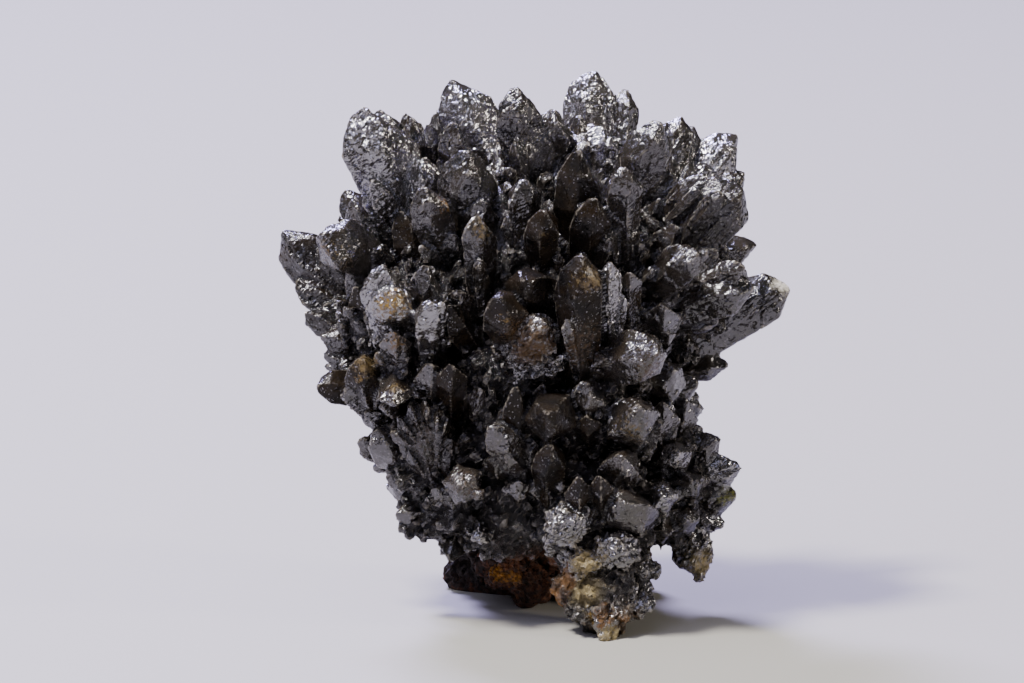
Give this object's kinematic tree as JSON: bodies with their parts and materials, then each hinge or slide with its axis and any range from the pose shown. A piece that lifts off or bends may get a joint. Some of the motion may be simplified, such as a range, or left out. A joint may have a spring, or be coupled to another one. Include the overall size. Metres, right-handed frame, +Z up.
{
  "type": "descloizite crystal cluster",
  "caption": "Mineral specimen: a crown of dark spearhead crystals on a druse-covered stalk, standing on a rusty matrix base.",
  "frame": {"origin": "on the ground under the middle of the standing cluster's box", "axes": "+Z up, +X to the viewer's right from the front, +Y towards the back; the face with the front foot looks along -Y"},
  "size_m": [0.1032, 0.0718, 0.106],
  "materials": {
    "descloizite": "greasy, near-metallic dark crystal faces",
    "limonite": "earthy, porous and matt"
  },
  "bodies": {
    "root": {"descloizite_crystals": "descloizite", "limonite_matrix": "limonite"}
  },
  "joints": []
}
